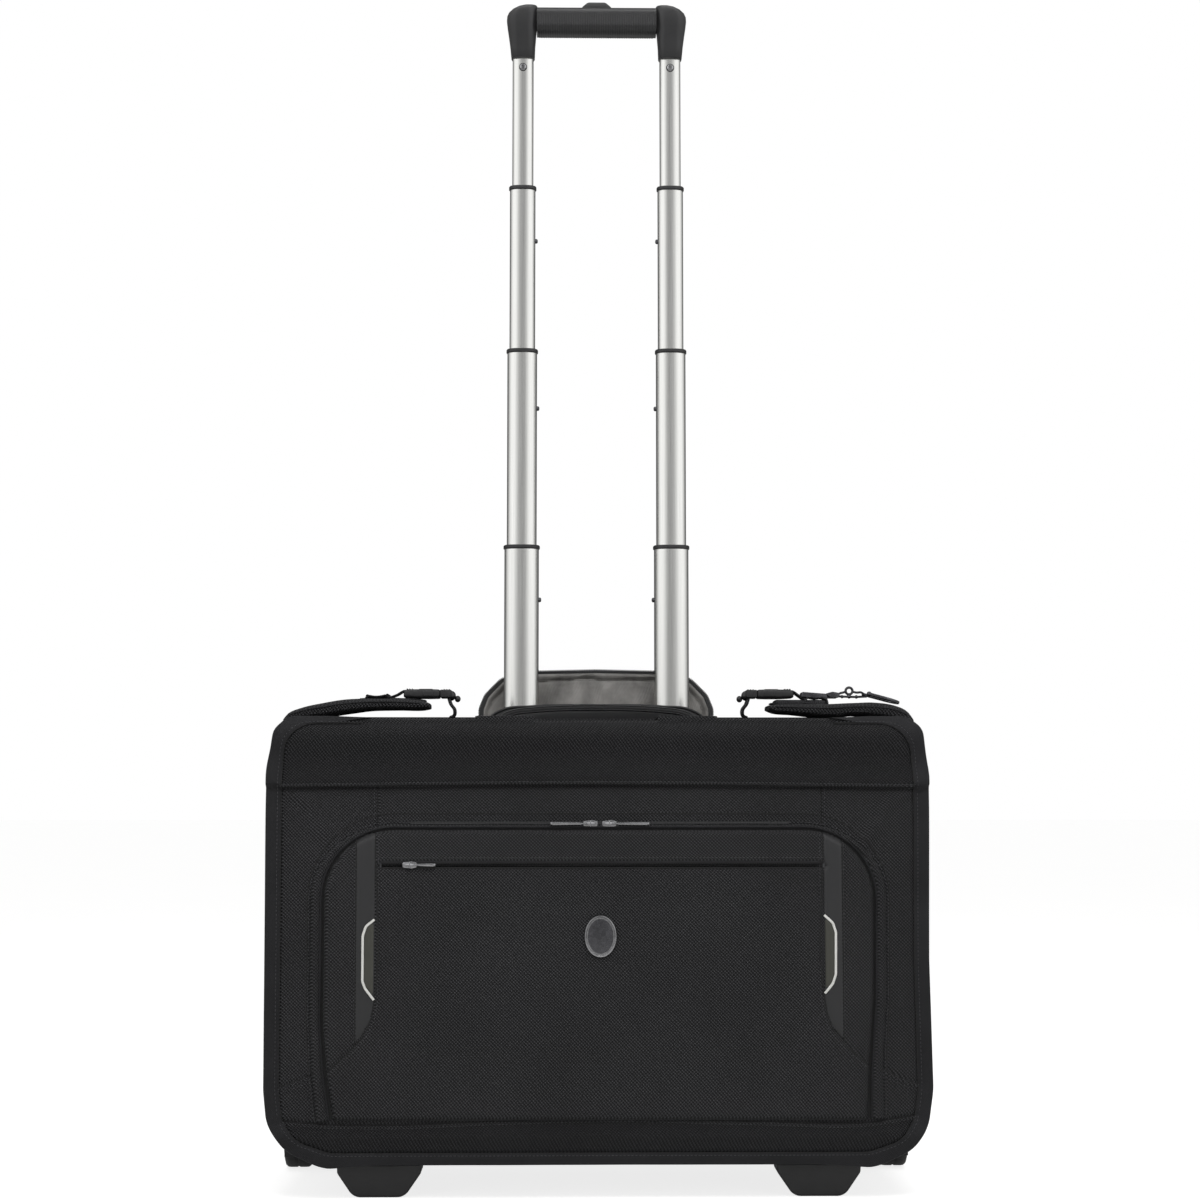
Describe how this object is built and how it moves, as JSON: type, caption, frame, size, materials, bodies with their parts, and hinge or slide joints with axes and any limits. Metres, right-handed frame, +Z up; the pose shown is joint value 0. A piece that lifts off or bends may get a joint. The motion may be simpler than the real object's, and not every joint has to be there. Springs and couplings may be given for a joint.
{
  "type": "wheeled garment case",
  "caption": "Soft-sided wheeled garment case with a lift-up front sleeve, arched zip pocket, padded carry handle and a telescoping twin-tube pull handle.",
  "frame": {"origin": "middle of the case on the floor it stands on", "axes": "+X across the case to its own left as seen from behind, -Y out of the front pocket, +Z up along the pull handle"},
  "size_m": [0.566, 0.23, 1.0926],
  "materials": {
    "body_twill": "ballistic-weave nylon twill, matt",
    "grey_lining": "plain-weave polyester lining",
    "black_nylon": "fine-textured moulded nylon",
    "tube_aluminium": "brushed and clear anodised",
    "axle_steel": "turned",
    "wheel_rubber": "moulded polyurethane",
    "hub_plastic": "moulded",
    "grip_rubber": "soft-touch ribbed grip",
    "gunmetal": "dark nickel plate",
    "handle_leather": "padded coated webbing"
  },
  "bodies": {
    "frame": {"back_board": "body_twill", "body_shell": "body_twill", "divider_panel": "grey_lining", "base_plate": "black_nylon", "handle_well": "black_nylon", "fixed_tubes": "tube_aluminium", "fixed_collars": "black_nylon", "tube_bracket": "tube_aluminium", "wheel_housing_left": "black_nylon", "wheel_housing_right": "black_nylon", "axles": "axle_steel", "front_feet": "black_nylon", "handle_anchors": "black_nylon"},
    "left_wheel": {"tyre_left": "wheel_rubber", "hub_left": "hub_plastic", "bearings_left": "axle_steel"},
    "right_wheel": {"tyre_right": "wheel_rubber", "hub_right": "hub_plastic", "bearings_right": "axle_steel"},
    "stage_4": {"stage_4_tubes": "tube_aluminium", "stage_4_collars": "black_nylon", "stage_4_glides": "black_nylon", "stage_4_pins": "axle_steel"},
    "stage_3": {"stage_3_tubes": "tube_aluminium", "stage_3_collars": "black_nylon", "stage_3_glides": "black_nylon", "stage_3_pins": "axle_steel"},
    "stage_2": {"stage_2_tubes": "tube_aluminium", "stage_2_collars": "black_nylon", "stage_2_glides": "black_nylon", "stage_2_pins": "axle_steel"},
    "grip": {"stage_1_tubes": "tube_aluminium", "stage_1_glides": "black_nylon", "stage_1_pins": "axle_steel", "grip_bar": "grip_rubber", "grip_cap_left": "black_nylon", "grip_cap_right": "black_nylon", "grip_screws": "gunmetal", "release_rods": "axle_steel"},
    "release": {"release_button": "black_nylon"},
    "carry": {"carry_handle": "handle_leather"},
    "cover": {"cover_flap": "grey_lining"},
    "sleeve": {"garment_sleeve": "body_twill", "front_pocket": "body_twill", "badge_plate": "gunmetal", "wing_left": "body_twill", "wing_right": "body_twill", "hook_loop": "gunmetal", "buckle_socket_left": "black_nylon", "buckle_socket_right": "black_nylon"},
    "hook": {"hanging_hook": "gunmetal"},
    "left_plug": {"buckle_plug_left": "black_nylon"},
    "right_plug": {"buckle_plug_right": "black_nylon"},
    "arch_zip_left": {"arch_slider_left": "gunmetal"},
    "arch_zip_right": {"arch_slider_right": "gunmetal"},
    "slash_zip": {"slash_slider": "gunmetal"},
    "arch_pull_left": {"arch_puller_left": "gunmetal"},
    "arch_pull_right": {"arch_puller_right": "gunmetal"},
    "slash_pull": {"slash_puller": "gunmetal"}
  },
  "joints": [
    {"name": "left_wheel_spin", "type": "hinge", "parent": "frame", "child": "left_wheel", "pos_m": [-0.271, 0.08, 0.03], "axis": [1, 0, 0], "continuous": true},
    {"name": "right_wheel_spin", "type": "hinge", "parent": "frame", "child": "right_wheel", "pos_m": [0.271, 0.08, 0.03], "axis": [1, 0, 0], "continuous": true},
    {"name": "stage_4_slide", "type": "slide", "parent": "frame", "child": "stage_4", "axis": [0, 0, 1], "range_m": [-0.23, 0], "deforming": ["stage_4_pins"]},
    {"name": "stage_3_slide", "type": "slide", "parent": "stage_4", "child": "stage_3", "axis": [0, 0, 1], "range_m": [-0.182, 0], "deforming": ["stage_3_pins"]},
    {"name": "stage_2_slide", "type": "slide", "parent": "stage_3", "child": "stage_2", "axis": [0, 0, 1], "range_m": [-0.153, 0], "deforming": ["stage_2_pins"]},
    {"name": "stage_1_slide", "type": "slide", "parent": "stage_2", "child": "grip", "axis": [0, 0, 1], "range_m": [-0.111, 0], "deforming": ["stage_1_pins"]},
    {"name": "release_press", "type": "slide", "parent": "grip", "child": "release", "axis": [0, 0, 1], "range_m": [-0.0025, 0], "stiffness_N_per_m": 800, "springref_m": 0.001},
    {"name": "carry_handle_lift", "type": "slide", "parent": "frame", "child": "carry", "axis": [0, 0, 1], "range_m": [0, 0.012]},
    {"name": "cover_flap_fold", "type": "hinge", "parent": "frame", "child": "cover", "pos_m": [0, 0.103, 0.4032], "axis": [1, 0, 0], "range_deg": [-80, 10]},
    {"name": "sleeve_lift", "type": "hinge", "parent": "frame", "child": "sleeve", "pos_m": [0, 0.02, 0.4035], "axis": [-1, 0, 0], "range_deg": [0, 90]},
    {"name": "hook_swing", "type": "hinge", "parent": "sleeve", "child": "hook", "pos_m": [0.208, -0.048, 0.425], "axis": [0, -1, 0], "range_deg": [0, 90]},
    {"name": "left_buckle_release", "type": "slide", "parent": "sleeve", "child": "left_plug", "axis": [1, 0, 0], "range_m": [0, 0.016]},
    {"name": "right_buckle_release", "type": "slide", "parent": "sleeve", "child": "right_plug", "axis": [-1, 0, 0], "range_m": [0, 0.016]},
    {"name": "arch_zip_left_slide", "type": "slide", "parent": "sleeve", "child": "arch_zip_left", "axis": [-1, 0, 0], "range_m": [0, 0.165]},
    {"name": "arch_zip_right_slide", "type": "slide", "parent": "sleeve", "child": "arch_zip_right", "axis": [1, 0, 0], "range_m": [0, 0.165]},
    {"name": "slash_zip_slide", "type": "slide", "parent": "sleeve", "child": "slash_zip", "axis": [1, 0, 0], "range_m": [0, 0.33]},
    {"name": "arch_pull_left_turn", "type": "hinge", "parent": "arch_zip_left", "child": "arch_pull_left", "pos_m": [-0.008, -0.1078, 0.314], "axis": [0, 0, 1], "range_deg": [0, 100]},
    {"name": "arch_pull_right_turn", "type": "hinge", "parent": "arch_zip_right", "child": "arch_pull_right", "pos_m": [0.008, -0.1078, 0.314], "axis": [0, 0, -1], "range_deg": [0, 100]},
    {"name": "slash_pull_turn", "type": "hinge", "parent": "slash_zip", "child": "slash_pull", "pos_m": [-0.16, -0.11395, 0.2795], "axis": [0, 0, -1], "range_deg": [0, 100]}
  ]
}
